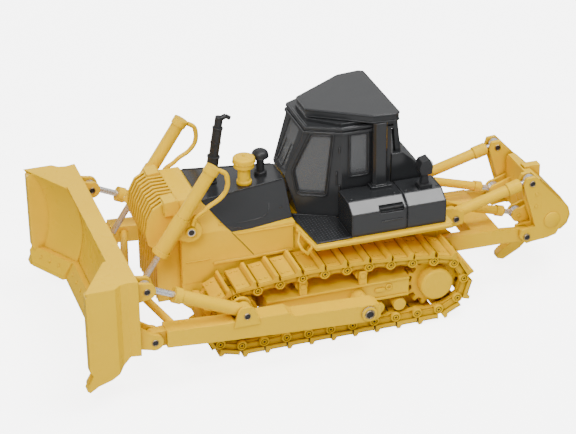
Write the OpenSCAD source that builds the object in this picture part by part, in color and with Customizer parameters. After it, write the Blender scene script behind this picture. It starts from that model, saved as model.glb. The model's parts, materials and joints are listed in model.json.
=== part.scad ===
// Die-cast scale model of a crawler bulldozer with a semi-U blade and a rear ripper.
// Millimetres. X points forward, Y to the machine's left, Z up; the ground is at Z = 0.

/* [Tracks] */
// Links in each track
link_count = 26; // [24:1:28]
// Distance between the two track centres
track_gauge = 42; // [41.4:0.2:42.6]
// Width of a track shoe
shoe_width = 12.4; // [11.4:0.2:12.6]
// Height of the bar on each shoe
grouser_height = 1.25; // [0.9:0.05:1.4]
// Radius of the pin circle round sprocket and idler
wheel_radius = 8.5; // [8.3:0.1:8.7]

/* [Blade] */
// Overall width of the blade
blade_width = 80; // [78:1:84]
// Forward angle of the blade's wings
wing_angle = 30; // [26:1:33]
// Height of the blade's top edge at its wings
blade_top = 38.4; // [37.4:0.2:40]

/* [Cab] */
// Half width of the cab
cab_half_width = 13.2; // [12.6:0.1:13.4]
// Height of the canopy's top
roof_top = 66.7; // [65.5:0.1:69]
// Wall thickness of the cab
wall = 1.2; // [1:0.1:1.5]
// Thickness of the window panes
pane = 0.5; // [0.4:0.1:0.7]

/* [Cylinders] */
// Radius of the blade lift cylinders
lift_radius = 2; // [1.8:0.1:2.1]
// Radius of the blade tilt cylinders
tilt_radius = 2; // [1.8:0.1:2.2]
// Radius of the piston rods of the blade
rod_radius = 0.95; // [0.8:0.05:1]
// Radius of the ripper's cylinders
ripper_radius = 1.7; // [1.5:0.05:1.75]
// Radial clearance of a shaft in its bore
clearance = 0.08; // [0.05:0.01:0.1]

/* [Ripper] */
// Thickness of the ripper's shank
shank_thickness = 2.8; // [2.2:0.1:3.2]

/* [Hidden] */
$fn = 48;
far = 200;

// Track path
sprocket_x = -30;
idler_x = 33.6;
carrier_rear_x = -6.3;
carrier_front_x = 12.5;
carrier_rise = 10.9;
pin_to_plate = 2.4;
plate_thickness = 1;
link_half_height = 1.5;
rail_width = 1.5;
rail_offset = 3.2;
link_phase = 0.2;
wheel_z = wheel_radius + pin_to_plate + grouser_height;
track_y = track_gauge / 2;
sprocket_centre = [sprocket_x, wheel_z];
idler_centre = [idler_x, wheel_z];
rear_top = [carrier_rear_x, wheel_z + carrier_rise];
front_top = [carrier_front_x, wheel_z + carrier_rise];

function bearing(p, q) = atan2(q.y - p.y, q.x - p.x);
function polar(c, r, a) = [c.x + r * cos(a), c.y + r * sin(a)];
function between(p, q, t) = p + (q - p) * t;

leave_angle = bearing(sprocket_centre, rear_top) + acos(wheel_radius / norm(rear_top - sprocket_centre));
meet_angle = bearing(idler_centre, front_top) - acos(wheel_radius / norm(front_top - idler_centre));
leave_point = polar(sprocket_centre, wheel_radius, leave_angle);
meet_point = polar(idler_centre, wheel_radius, meet_angle);

// Distance along the path at which each stretch ends
end_bottom = idler_x - sprocket_x;
end_sprocket = end_bottom + wheel_radius * (270 - leave_angle) * PI / 180;
end_rise = end_sprocket + norm(rear_top - leave_point);
end_top = end_rise + norm(front_top - rear_top);
end_fall = end_top + norm(meet_point - front_top);
loop_length = end_fall + wheel_radius * (meet_angle + 90) * PI / 180;
pitch = loop_length / link_count;

function path_point(s) =
    s < end_bottom ? [idler_x - s, wheel_z - wheel_radius]
    : s < end_sprocket ? polar(sprocket_centre, wheel_radius, 270 - (s - end_bottom) / wheel_radius * 180 / PI)
    : s < end_rise ? between(leave_point, rear_top, (s - end_sprocket) / (end_rise - end_sprocket))
    : s < end_top ? between(rear_top, front_top, (s - end_rise) / (end_top - end_rise))
    : s < end_fall ? between(front_top, meet_point, (s - end_top) / (end_fall - end_top))
    : polar(idler_centre, wheel_radius, meet_angle - (s - end_fall) / wheel_radius * 180 / PI);

pins = [for (i = [0 : link_count - 1]) path_point((i + link_phase) * pitch)];

function pin(i) = pins[(i + link_count) % link_count];
function heading(i) = bearing(pin(i), pin(i + 1));
function pin_heading(i) = bearing(pin(i - 1), pin(i + 1));
function local(p, a, v) = [p.x + v.x * cos(a) - v.y * sin(a), p.y + v.x * sin(a) + v.y * cos(a)];

// Blade linkage, as [x, z] of axes that run along Y
trunnion = [-4.4, 12.7];
blade_pin = [60.6, 15.9];
tilt_root = [33.1, 19.3];
tilt_eye = [62.2, 32.7];
lift_pivot = [43.7, 38.8];
lift_top = [36.5, 59];
lift_eye = [60.9, 22.4];
arm_y = 32.5;
tilt_y = 32.5;
lift_y = 16.7;
brace_ball = [60.2, 17.2];

// Ripper linkage
frame_root = [-38, 18];
frame_pin = [-63.9, 17];
ripper_tilt_root = [-39.5, 28.1];
ripper_tilt_eye = [-65, 35.2];
ripper_lift_root = [-38, 29.5];
ripper_lift_eye = [-63.2, 22.1];
ripper_tilt_y = 13.2;
ripper_lift_y = 8.6;

// Body
deck_top = 33.4;
deck_bottom = 31.6;
hull_half = 13.4;
hood_top = 45.4;
split_top = [39, hood_top];
split_foot = [30.7, 35];
blade_back = 65.4;

module yellow() color([0.93, 0.68, 0.1]) children();
module charcoal() color([0.2, 0.2, 0.21]) children();
module silver() color([0.72, 0.72, 0.74]) children();

// Copies a piece of the left side to the right
module both_sides() {
    children();
    mirror([0, 1, 0]) children();
}

// Side view outline [x, z], from y0 to y1
module side_plate(points, y0, y1) {
    translate([0, y1, 0]) rotate([90, 0, 0]) linear_extrude(y1 - y0) polygon(points);
}

// Plan outline [x, y], from z0 to z1
module plan_plate(points, z0, z1) {
    translate([0, 0, z0]) linear_extrude(z1 - z0) polygon(points);
}

// Front view outline [y, z], from x0 to x1
module front_plate(points, x0, x1) {
    translate([x0, 0, 0]) rotate([90, 0, 90]) linear_extrude(x1 - x0) polygon(points);
}

module block(low, high) {
    translate(low) cube(high - low);
}

// Round bar along Y at [x, z]
module pin_y(at, r, y0, y1) {
    translate([at.x, y0, at.y]) rotate([-90, 0, 0]) cylinder(r = r, h = y1 - y0);
}

// Turns +Z towards q from p, both [x, z], at the depth y
module aim(p, q, y) {
    translate([p.x, y, p.y]) rotate([0, atan2(q.x - p.x, q.y - p.y), 0]) children();
}

// Round bar between two points in space
module bar(p, q, r) {
    d = q - p;
    translate(p) rotate([0, acos(d.z / norm(d)), atan2(d.y, d.x)]) cylinder(r = r, h = norm(d));
}

// Solid side of a plane through p, whose outward normal is n
module beyond(p, n) {
    translate(p) rotate([0, acos(n.z / norm(n)), atan2(n.y, n.x)]) translate([-far / 2, -far / 2, 0])
        cube([far, far, far]);
}

// Turned shape along Z with a rounded upper edge
module rounded_disc(r, h, edge) {
    corner = [for (a = [0 : 15 : 90]) [r - edge + edge * cos(a), h - edge + edge * sin(a)]];
    rotate_extrude() polygon(concat([[0, 0], [r, 0]], corner, [[0, h]]));
}

module chassis() yellow() {
    difference() {
        side_plate([[-34, 14], [-30, 8], [40, 8], [46, 13], [46, 20], [11, 20], [11, deck_bottom],
            [-34, deck_bottom]], -hull_half, hull_half);
        for (x = [-20, 26]) {
            translate([x, 0, 7]) cylinder(r = 1.25, h = 7);
        }
    }
}

module deck() yellow() {
    plan_plate([[11, -hull_half], [11, hull_half], [9, 27], [-34, 27], [-34, -27], [9, -27]],
        deck_bottom, deck_top);
}

// Cross section of the engine housing
function housing(half, top_half, top) =
    [[-half, 20], [half, 20], [half, 36], [top_half, top], [-top_half, top], [-half, 36]];

module engine_cover() yellow() {
    difference() {
        union() {
            front_plate(housing(13.5, 10.5, 46.5), 11, 46);
            both_sides() {
                pin_y(lift_pivot, 2, 11.3, 14);
                block([12, 13.3, 25.2], [36.5, 14, 26]);
            }
        }
        side_plate([[10, 35], split_foot, split_top, [split_top.x + 3.5, 50], [10, 50]], -20, 20);
        pin_y(lift_pivot, 0.9 + clearance, 11, 20);
        pin_y(lift_pivot, 0.9 + clearance, -20, -11);
    }
}

guard_outline = [[46, 14], [53, 14], [53, 31.5], [55.3, 33.6], [56, 37], [55.2, 41.5], [53.4, 45],
    [50.5, 46.7], [46, 46.7]];
guard_core = [[46, 14], [52.2, 14], [52.2, 31.8], [54.5, 34], [55.2, 37], [54.4, 41.2], [52.8, 44.3],
    [50.2, 45.9], [46, 45.9]];

module radiator_guard() yellow() {
    side_plate(guard_core, -11, 11);
    for (i = [0 : 10]) {
        side_plate(guard_outline, -11 + 2.1 * i, -10 + 2.1 * i);
    }
    both_sides() side_plate([[46, 42.8], [50.3, 42.8], [50.3, 47.2], [46.8, 47.6], [46, 46.9]], 6.9, 12.2);
}

hood_foot = [11, 35];

module hood() charcoal() {
    crease_front = [split_top.x, 10.5, hood_top];
    crease_rear = [11, 5, hood_top];
    foot = [25, 13.5, 35];
    facet = cross(crease_front - crease_rear, foot - crease_rear);
    difference() {
        side_plate([hood_foot, split_foot, split_top, [11.6, hood_top]], -13.5, 13.5);
        beyond(crease_rear, facet.y > 0 ? facet : -facet);
        mirror([0, 1, 0]) beyond(crease_rear, facet.y > 0 ? facet : -facet);
    }
}

// Cab: plan and side outline, shrunk by an inset
cab_front = 11.5;
cab_front_top = 5.4;
cab_nose_half = 5.5;
cab_corner_x = -3.8;
cab_rear = -19.2;
roof_thickness = 2.6;
eave = roof_top - roof_thickness - 0.9;
gutter = 0.6;

function cab_plan(inset) = [[cab_rear + inset, -cab_half_width + inset],
    [cab_corner_x, -cab_half_width + inset],
    [cab_front, -cab_nose_half + inset], [cab_front, cab_nose_half - inset],
    [cab_corner_x, cab_half_width - inset], [cab_rear + inset, cab_half_width - inset]];

function cab_side(inset, floor_z, top_z) = [[cab_rear - 1, floor_z], [8 - inset, floor_z],
    [cab_front - inset, 46.5], [cab_front_top - inset, top_z], [cab_rear - 1, top_z]];

module cab_body(inset, floor_z, top_z) {
    intersection() {
        plan_plate(cab_plan(inset), floor_z, top_z);
        side_plate(cab_side(inset, floor_z, top_z), -20, 20);
    }
}

facet_angle = bearing([cab_front, cab_nose_half], [cab_corner_x, cab_half_width]);

// Door window outline along the slanted front side of the cab, [along, z]
window_top = eave - 2.7;
door_window = [[4.2, 41.5], [12.2, 41.5], [14.2, window_top], [8, window_top], [2.8, 48.5]];
rear_window = [[-6.2, 47.5], [-11.8, 47.5], [-11.8, window_top], [-6.2, window_top]];

// Outline grown about its middle, for the raised frame round a window
function grown(points, share) =
    let (middle = [for (k = [0, 1]) (min([for (q = points) q[k]]) + max([for (q = points) q[k]])) / 2])
    [for (q = points) middle + (q - middle) * share];

module on_door_side() {
    translate([cab_front, cab_nose_half, 0]) rotate([0, 0, facet_angle]) children();
}

module window_frames() {
    both_sides() {
        on_door_side() side_plate(grown(door_window, 1.12), -0.4, 0.4);
        side_plate(grown(rear_window, 1.12), cab_half_width - 0.4, cab_half_width + 0.3);
    }
}

module window_openings() {
    both_sides() {
        on_door_side() side_plate(door_window, -2.5, 4);
        side_plate(rear_window, cab_half_width - 2.5, cab_half_width + 1);
    }
    block([4, -4.2, 48], [14, 4.2, window_top]);
    block([cab_rear - 2, -8, 52.5], [cab_rear + 3, 8, window_top]);
}

module cab() charcoal() {
    difference() {
        union() {
            cab_body(0, deck_top, eave);
            window_frames();
            for (z = [eave - 2.3, eave - 0.9]) {
                intersection() {
                    cab_body(-gutter, deck_top, eave);
                    block([-30, -20, z], [20, 20, z + 0.8]);
                }
            }
        }
        cab_body(wall, deck_top + 1.5, eave - wall);
        window_openings();
    }
}

module cab_glass() color([0.75, 0.8, 0.84, 0.35]) {
    intersection() {
        difference() {
            cab_body(0.3, deck_top, eave);
            cab_body(0.3 + pane, deck_top - 1, eave + 1);
        }
        window_openings();
    }
}

module seat() color([0.32, 0.32, 0.34]) {
    block([-9, -3.5, deck_top + 1.5], [-1, 3.5, 42]);
    block([-12, -3.5, deck_top + 1.5], [-9, 3.5, 54]);
    block([2, -4, deck_top + 1.5], [5, 4, 46]);
}

canopy_plan = [[4.2, -4.4], [4.2, 4.4], [-12.6, 15.2], [-19.6, 16], [-20.8, 15.2], [-20.8, -15.2],
    [-19.6, -16], [-12.6, -15.2]];

module canopy() charcoal() {
    plan_plate(canopy_plan, roof_top - roof_thickness, roof_top);
    plan_plate([[4.4, -5], [4.4, 5], [-3.8, 12.4], [cab_rear, 12.4], [cab_rear, -12.4], [-3.8, -12.4]], eave,
        roof_top - roof_thickness);
}

box_top = deck_top + 9.8;
tank_top = 52;

// Main posts on the side boxes with their foot plates, and slim rear posts on the tank
module roof_posts() charcoal() {
    under_roof = roof_top - roof_thickness;
    inner = cab_half_width + 0.6;
    both_sides() {
        plan_plate([[-17.3, inner], [-12.9, inner], [-12.9, 15.2], [-13.6, 16], [-16.6, 16], [-17.3, 15.2]],
            box_top, under_roof);
        plan_plate([[-18.4, inner], [-11.8, inner], [-11.8, 17], [-18.4, 17]], box_top, box_top + 0.7);
        side_plate([[-21.3, tank_top], [-22.9, tank_top], [-21.5, under_roof], [-20.1, under_roof]],
            9.6, 11.8);
    }
}

// Tread plates on the deck beside the cab
module step_plates() charcoal() {
    both_sides() plan_plate([[10.5, 6.6], [8.6, 26.3], [-2, 26.3], [-2, 12.8]], deck_top, deck_top + 0.5);
}

box_rear = -32;
box_front = -2.4;
box_seam = -19.9;

// Cross section of the left side box, shrunk by an inset on its open sides
function box_section(inset) = [[13.9, deck_top], [26 - inset, deck_top],
    [26 - inset, box_top - 2.5 - inset / 2], [22 - inset / 2, box_top - inset], [13.9, box_top - inset]];

module side_boxes() charcoal() {
    grip = [[23.9, 41.1], [24.8, 42.4], [26.8, 41.2], [26.8, 39.8], [25.1, 39.8]];
    both_sides() difference() {
        front_plate(box_section(0), box_rear, box_front);
        front_plate(grip, -18.7, -11.2);
        difference() {
            block([box_seam, 10, deck_top - 1], [box_seam + 0.4, 30, box_top + 1]);
            front_plate(box_section(0.4), box_rear, box_front);
        }
    }
}

module rear_tank() charcoal() {
    side_plate([[cab_rear - 0.3, deck_top], [cab_rear - 0.3, tank_top], [-23, tank_top], [-27, 48.5],
        [-28.4, 44.5], [-31, 44], [-32, deck_top]], -13.2, 13.2);
}

module rear_lamps() color([0.1, 0.1, 0.11]) {
    both_sides() {
        block([-29.4, 17.8, box_top], [-25.4, 21.2, box_top + 1]);
        side_plate([[-28.6, box_top + 1], [-26.2, box_top + 1], [-26.8, box_top + 4.5],
            [-28.2, box_top + 4.5]], 18.6, 20.4);
        side_plate([[-29.2, box_top + 4.5], [-25.9, box_top + 4.5], [-25.2, box_top + 6.4],
            [-25.9, box_top + 8.8], [-28.4, box_top + 9.4], [-29.4, box_top + 7]], 17.6, 21.4);
    }
}

// Stack that leans back: sleeve, pipe, head and a hooked rain cap
module exhaust() color([0.1, 0.1, 0.11]) {
    foot = [33, 0, hood_top];
    lean = [-0.165, 0, 1];
    intersection() {
        bar(foot - lean, foot + lean * 8.4, 1.75);
        block([foot.x - 5, -5, hood_top], [foot.x + 5, 5, roof_top]);
    }
    bar(foot + lean * 8.3, foot + lean * 17.4, 1.45);
    bar(foot + lean * 17.3, foot + lean * 20.8, 1.2);
    bar(foot + lean * 20, [27.6, 0, foot.z + 20.8], 0.8);
    bar([27.7, 0, foot.z + 20.8], [26.4, 0, foot.z + 19.9], 0.65);
}

module precleaner() yellow() {
    translate([23.6, 4, hood_top]) {
        rounded_disc(2.3, 1.2, 0.4);
        cylinder(r = 1.9, h = 5.6);
        translate([0, 0, 5.5]) cylinder(r = 3.1, h = 1.6);
        translate([0, 0, 7]) rounded_disc(3.35, 1.7, 0.7);
    }
}

module intake() color([0.1, 0.1, 0.11]) {
    translate([17.3, 0, hood_top]) {
        rounded_disc(1.9, 1.2, 0.4);
        cylinder(r = 1.2, h = 5.8);
        translate([0, 0, 5.7]) rounded_disc(2.55, 2.3, 1.5);
    }
}

module rear_bracket() yellow() {
    difference() {
        union() {
            block([-35.1, -hull_half + 0.2, 13.5], [-34, hull_half - 0.2, deck_top]);
            block([-35.1, -16.6, 25.4], [-34, 16.6, deck_top]);
            both_sides() {
                side_plate([[-35, 14.5], [-40.5, 15.5], [-40.8, 20], [-38, 22.5], [-38, 25.4], [-42, 26.3],
                    [-42, 30], [-38, 32], [-35, 32]], 10.2, 11.1);
                side_plate([[-35, 25.4], [-38, 25.4], [-42, 26.3], [-42, 30], [-38, 32], [-35, 32]],
                    15.4, 16.6);
                side_plate([[-35, 27], [-40, 27.5], [-40, 31.5], [-35, 31.5]], 6.1, 6.95);
                pin_y(frame_root, 1, 10.2, 14.4);
                pin_y(ripper_lift_root, 0.9, 6.1, 11.1);
            }
        }
        for (side = [-1, 1]) {
            translate([0, side * ripper_tilt_y, 0]) pin_y(ripper_tilt_root, 0.9 + clearance, -4, 4);
        }
    }
}

// Track frame of the left side
module track_frame() {
    y = track_y;
    difference() {
        union() {
            block([-21, y - 4, wheel_z - 2.3], [24, y + 4.2, wheel_z + 4.4]);
            block([-21, y - 4.3, wheel_z + 3.7], [24, y + 4.7, wheel_z + 4.4]);
            for (x = [carrier_rear_x, carrier_front_x]) {
                block([x - 1.2, y + 3.2, wheel_z + 4], [x + 1.2, y + 4.4, wheel_z + carrier_rise - 1.9]);
            }
            both_sides_of(y) block([22, y + 5.1, wheel_z - 2.2], [36, y + 6, wheel_z + 2.2]);
            block([22, y - 6, wheel_z - 2.2], [24, y + 6, wheel_z + 2.2]);
            block([5, hull_half, wheel_z - 1.5], [15, y - 3.8, wheel_z + 2.5]);
            pin_y(trunnion, 2.4, y + 3, 29.3);
        }
        pin_y(trunnion, 1.55, 26, 31);
        for (x = [carrier_rear_x, carrier_front_x]) {
            pin_y([x, wheel_z + carrier_rise - 3.8], 0.9 + clearance, y + 2, y + 6);
        }
        pin_y(idler_centre, 1.5 + clearance, y - 8, y + 8);
    }
}

module both_sides_of(y) {
    children();
    translate([0, 2 * y, 0]) mirror([0, 1, 0]) children();
}

module track_frame_left() yellow() track_frame();
module track_frame_right() yellow() mirror([0, 1, 0]) track_frame();

roller_radius = 2;
roller_z = wheel_z - wheel_radius + link_half_height + 0.3 + roller_radius;

module rollers() {
    for (i = [0 : 6]) {
        pin_y([-18 + 6.9 * i, roller_z], roller_radius, track_y - 4.8, track_y + 4.8);
    }
    for (x = [carrier_rear_x, carrier_front_x]) {
        pin_y([x, wheel_z + carrier_rise - 3.8], roller_radius, track_y - 4.8, track_y + 2.9);
        pin_y([x, wheel_z + carrier_rise - 3.8], 0.9, track_y, track_y + 4.4);
    }
}

module rollers_left() yellow() rollers();
module rollers_right() yellow() mirror([0, 1, 0]) rollers();

module idler() {
    tread = wheel_radius - link_half_height - 0.3;
    pin_y(idler_centre, tread, track_y - 4.8, track_y + 4.8);
    pin_y(idler_centre, tread + 0.9, track_y - 2.8, track_y + 2.8);
    pin_y(idler_centre, 1.5, track_y - 6, track_y + 6);
}

module idler_left() yellow() idler();
module idler_right() yellow() mirror([0, 1, 0]) idler();

teeth = 16;

module sprocket() {
    outline = [for (i = [0 : teeth - 1]) for (k = [[-6, 7.2], [-3, 8.7], [3, 8.7], [6, 7.2]])
        polar(sprocket_centre, k.y, 360 / teeth * i + k.x)];
    side_plate(outline, track_y - 1.4, track_y + 1.4);
    pin_y(sprocket_centre, 4.4, hull_half, track_y);
    translate([sprocket_x, track_y, wheel_z]) rotate([-90, 0, 0]) rounded_disc(5.2, 5.2, 0.9);
}

module sprocket_left() yellow() sprocket();
module sprocket_right() yellow() mirror([0, 1, 0]) sprocket();

// Outline of a shoe on the chord from pin i to the next, with its bar at the first pin
function shoe(i) =
    let (c = norm(pin(i + 1) - pin(i)), low = pin_to_plate - plate_thickness, top = pin_to_plate,
        tip = pin_to_plate + grouser_height)
    [for (v = [[0.3, low], [c - 0.3, low], [c - 0.3, top], [2, top], [1.2, tip], [0.3, tip]])
        local(pin(i), heading(i), v)];

// Edge of the chain's side bars: a bump at each pin and a waist between
function chain_edge(bump, shoulder, waist) =
    [for (i = [0 : link_count - 1])
        for (v = [[-1.1, shoulder], [0, bump], [1.1, shoulder], [3.45, waist]])
            v.x < 3 ? local(pin(i), pin_heading(i), v)
                : local(pin(i), heading(i), [norm(pin(i + 1) - pin(i)) / 2, v.y])];

module chain_bar(y0, y1) {
    difference() {
        side_plate(chain_edge(1.5, 1.5, 1.6), y0, y1);
        side_plate(chain_edge(-1.5, -1.2, -0.8), y0 - 1, y1 + 1);
    }
}

module track() {
    for (i = [0 : link_count - 1]) {
        side_plate(shoe(i), track_y - shoe_width / 2, track_y + shoe_width / 2);
    }
    chain_bar(track_y + rail_offset, track_y + rail_offset + rail_width);
    chain_bar(track_y - rail_offset - rail_width, track_y - rail_offset);
}

module track_left() color([0.88, 0.62, 0.1]) track();
module track_right() color([0.88, 0.62, 0.1]) mirror([0, 1, 0]) track();

module trunnion_screws() silver() {
    both_sides() {
        pin_y(trunnion, 1.5, 26.3, 35.8);
        pin_y(trunnion, 2.3, 35.7, 36.3);
    }
}

arm_outline = [[-8.2, 10.8], [-6.5, 9.8], [-2, 9.8], [40, 12.1], [57, 13.4], [57, 18.8], [39, 17.7], [37, 18],
    [20.5, 17.6], [18.5, 16.2], [-2, 15.4], [-6.5, 15.2], [-8.2, 14.2]];

module push_frame() yellow() {
    both_sides() {
        difference() {
            union() {
                side_plate(arm_outline, arm_y - 2.9, arm_y + 2.9);
                for (y = [arm_y - 3.3, arm_y + 2.3]) {
                    pin_y(tilt_root, 3, y, y + 1);
                    side_plate([[29, 16], [37.2, 16], [35.9, 20.3], [30.5, 20.6]], y, y + 1);
                }
                pin_y(tilt_root, 0.9, arm_y - 3.3, arm_y + 3.3);
                side_plate([[56, 13.6], [60.6, 13.5], [60.6, 18.3], [56, 18.6]], arm_y - 1.6, arm_y + 1.6);
                pin_y(blade_pin, 2.4, arm_y - 1.6, arm_y + 1.6);
            }
            difference() {
                block([29.8, arm_y - 2.3, 16.5], [36.6, arm_y + 2.3, 30]);
                pin_y(tilt_root, 0.9, 20, 40);
            }
            pin_y(blade_pin, 0.9 + clearance, 20, 40);
            pin_y(trunnion, 1.5 + clearance, 20, 40);
        }
        bar([53, arm_y - 2.5, 16.2], [brace_ball.x, 0, brace_ball.y], 1.2);
    }
    translate([brace_ball.x, 0, brace_ball.y]) sphere(r = 1.9);
}

face_radius = 32.3;
face_centre = [blade_back + 34.1, 23];

// Side view of the blade with its hollow face; the deep one reaches back beyond the blade
module blade_profile(back) {
    difference() {
        translate([back, 6.6]) square([82 - back, blade_top - 6.6]);
        translate([face_centre.x, face_centre.y]) circle(r = face_radius);
        translate([face_centre.x - 24.5, 0]) square([60, 60]);
    }
}

// Blade material swept along Y
module blade_sweep(back, y0, y1) {
    translate([0, y1, 0]) rotate([90, 0, 0]) linear_extrude(y1 - y0) blade_profile(back);
}

wing_start = 24;
end_plate = 3;
middle_cut = [[60, 0], [60, 16], [blade_back, 16], [70.2, 6.6], [90, 6], [90, 0]];
wing_cut = [[60, 0], [60, 14.6], [68.4, 14.2], [71.8, 10.9], [74.6, 9], [90, 4], [90, 0]];

// Side view of the plate that closes each wing, with its corner bit at the foot
end_outline = [[80.9, blade_top - 1.5], [79.8, blade_top - 0.6], [73.2, blade_top], [69.2, blade_top],
    [66.4, blade_top - 2.4], [65.6, 32.4], [blade_back, 25.4], [68.5, 14.7], [71.6, 11.7], [74.6, 11.1],
    [75.2, 9.9], [81.2, 6], [82, 6.7], [80, 11.3], [80.9, 12.7]];

// Places a sweep along the left wing's direction
module along_wing() {
    translate([blade_back, wing_start, 0]) rotate([0, 0, -wing_angle])
        translate([-blade_back, 0, 0]) children();
}

module blade_wing() {
    half = blade_width / 2;
    intersection() {
        along_wing() blade_sweep(30, -8, 40);
        block([blade_back, wing_start - 0.01, 0], [90, half, 60]);
    }
}

// Cutting edge: a strip that stands proud of the face along its foot
edge_outline = [[70.5, 6.8], [73.5, 6.7], [73.2, 8], [70.9, 12.2], [69.2, 12.2]];

module cutting_edge() {
    half = blade_width / 2;
    side_plate(edge_outline, -wing_start, wing_start);
    both_sides() intersection() {
        along_wing() side_plate(edge_outline, -6, 30);
        block([blade_back, wing_start - 0.4, 6], [81.4, half - 1, 20]);
    }
}

// Groove down the rear of each wing's end
groove_plan = [[73.4, 41], [70.6, 38.2], [68.4, 37.8], [65, 38.6], [65, 41]];

module ears(at, r, y0, y1, thickness, root_low, root_high) {
    for (y = [y0, y1 - thickness]) {
        pin_y(at, r, y, y + thickness);
        side_plate([[at.x, at.y - r], [blade_back + 0.5, root_low], [blade_back + 0.5, root_high],
            [at.x, at.y + r]], y, y + thickness);
    }
}

module blade() yellow() {
    difference() {
        union() {
            difference() {
                union() {
                    blade_sweep(blade_back, -wing_start, wing_start);
                    both_sides() blade_wing();
                }
                side_plate(middle_cut, -30, 30);
                both_sides() side_plate(wing_cut, 30, 60);
            }
            cutting_edge();
            both_sides() side_plate(end_outline, blade_width / 2 - end_plate, blade_width / 2);
        }
        both_sides() translate([0, blade_width / 2 - 40, 0]) plan_plate(groove_plan, 0, 60);
    }
    both_sides() {
        ears(tilt_eye, 2.6, tilt_y - 2.6, tilt_y + 2.6, 1.2, 29.5, 36);
        pin_y(tilt_eye, 0.8, tilt_y - 2.6, tilt_y + 2.6);
        ears(blade_pin, 2.5, arm_y - 3.1, arm_y + 3.1, 1.3, 14.8, 22);
        pin_y(blade_pin, 0.9, arm_y - 3.1, arm_y + 3.1);
        ears(lift_eye, 2.6, lift_y - 2.2, lift_y + 2.2, 1.1, 18.5, 26.5);
        pin_y(lift_eye, 0.6, lift_y - 2.2, lift_y + 2.2);
    }
    for (z = [14, 19.7]) {
        block([58.8, -2, z], [67.6, 2, z + 0.8]);
    }
}

// A cylinder's barrel from its root towards its eye, with a bore for the rod
module barrel(root, eye, y, length, r, bore, root_r, root_half, root_bore) {
    difference() {
        union() {
            aim(root, eye, y) cylinder(r = r, h = length);
            aim(root, eye, y) translate([0, 0, length - 2.4]) cylinder(r = r + 0.35, h = 2.4);
            pin_y(root, root_r, y - root_half, y + root_half);
        }
        aim(root, eye, y) translate([0, 0, root_r + 0.6]) cylinder(r = bore, h = length);
        pin_y(root, root_bore, y - 9, y + 9);
    }
}

// A piston rod that starts inside its barrel and ends in an eye
module piston(root, eye, y, start, r, eye_r, eye_half, eye_bore) {
    length = norm(eye - root);
    difference() {
        union() {
            aim(root, eye, y) translate([0, 0, start]) cylinder(r = r, h = length - start);
            pin_y(eye, eye_r, y - eye_half, y + eye_half);
        }
        pin_y(eye, eye_bore, y - 9, y + 9);
    }
}

module tilt_barrels() yellow() {
    both_sides() barrel(tilt_root, tilt_eye, tilt_y, 23, tilt_radius, rod_radius + clearance, 2.3, 1.6,
        0.9 + clearance);
}

module tilt_rods() silver() {
    both_sides() piston(tilt_root, tilt_eye, tilt_y, 12, rod_radius, 1.9, 1.2, 1.2);
}

lift_length = 30.7;
hose = [[34.8, 57.4], [32.8, 55.9], [32.3, 53], [32.9, 50.4], [34.9, 48.1], [37.9, 46.4], [39.8, 44.9],
    [42.3, 43.4], [43.2, 41]];

module lift_barrels() yellow() {
    both_sides() {
        difference() {
            union() {
                aim(lift_top, lift_eye, lift_y) {
                    cylinder(r = lift_radius, h = lift_length);
                    cylinder(r = lift_radius + 0.3, h = 2.2);
                    translate([0, 0, 17.5]) cylinder(r = lift_radius + 0.3, h = lift_length - 17.5);
                    translate([0, 0, lift_length - 1.6]) cylinder(r = lift_radius + 0.6, h = 1.6);
                }
                pin_y(lift_pivot, 3.4, 14.3, 16.2);
                side_plate([[41.5, 41.2], [46.2, 44.6], [51, 38], [45.4, 36]], 14.8, 16.2);
            }
            aim(lift_top, lift_eye, lift_y) translate([0, 0, 3]) cylinder(r = rod_radius + clearance, h = 40);
            pin_y(lift_pivot, 0.9 + clearance, 10, 20);
        }
        for (i = [0 : len(hose) - 2]) {
            bar([hose[i].x, 16.3, hose[i].y], [hose[i + 1].x, 16.3, hose[i + 1].y], 0.6);
        }
        for (i = [1 : len(hose) - 2]) {
            translate([hose[i].x, 16.3, hose[i].y]) sphere(r = 0.66);
        }
    }
}

module lift_pivots() silver() {
    both_sides() difference() {
        union() {
            pin_y(lift_pivot, 0.9, 11.2, 16.6);
            pin_y(lift_pivot, 1.4, 16.3, 16.8);
        }
        pin_y(lift_pivot, 0.55, 13, 18);
    }
}

module lift_rods() silver() {
    both_sides() piston(lift_top, lift_eye, lift_y, 12, rod_radius, 2.4, 1, 1.85);
}

module ripper_frame() yellow() {
    difference() {
        union() {
            both_sides() {
                side_plate([[-38, 15.4], [-55.5, 15.2], [-55.5, 20.2], [-38, 20.6]], 11.4, 14.2);
                pin_y(frame_root, 2.6, 11.4, 14.2);
                side_plate([[-55, 15.2], [-63.9, 14.9], [-63.9, 19.1], [-55, 20]], 12.4, 14.2);
                pin_y(frame_pin, 2.1, 12.4, 14.2);
            }
            block([-55.5, -12, 15.2], [-47, 12, 20.2]);
        }
        pin_y(frame_root, 1 + clearance, -20, 20);
        pin_y(frame_pin, 1 + clearance, -20, 20);
    }
}

module ripper_pins() silver() {
    both_sides() pin_y(frame_pin, 1, 10.6, 16);
}

beam_side = [[-66.7, 20.1], [-62.2, 34.6], [-63, 37.2], [-66, 37.4], [-76.9, 25.6], [-77.8, 22.7],
    [-77.3, 20.1], [-75, 18.2], [-73.9, 16.2], [-70.9, 15.4], [-66, 15], [-63.9, 14.6], [-61.6, 17], [-62, 19.4]];
beam_core = [[-68, 17], [-68, 33], [-70.5, 33], [-77.5, 26], [-80.8, 21.5], [-81.5, 18.6], [-80.6, 15.8],
    [-78.5, 14], [-72, 14]];
beam_fill = [[-68, 16], [-68, 32], [-70.5, 31], [-76, 25.4], [-76.8, 22.6], [-76.3, 20.3],
    [-74, 17.5], [-70, 16]];

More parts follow.
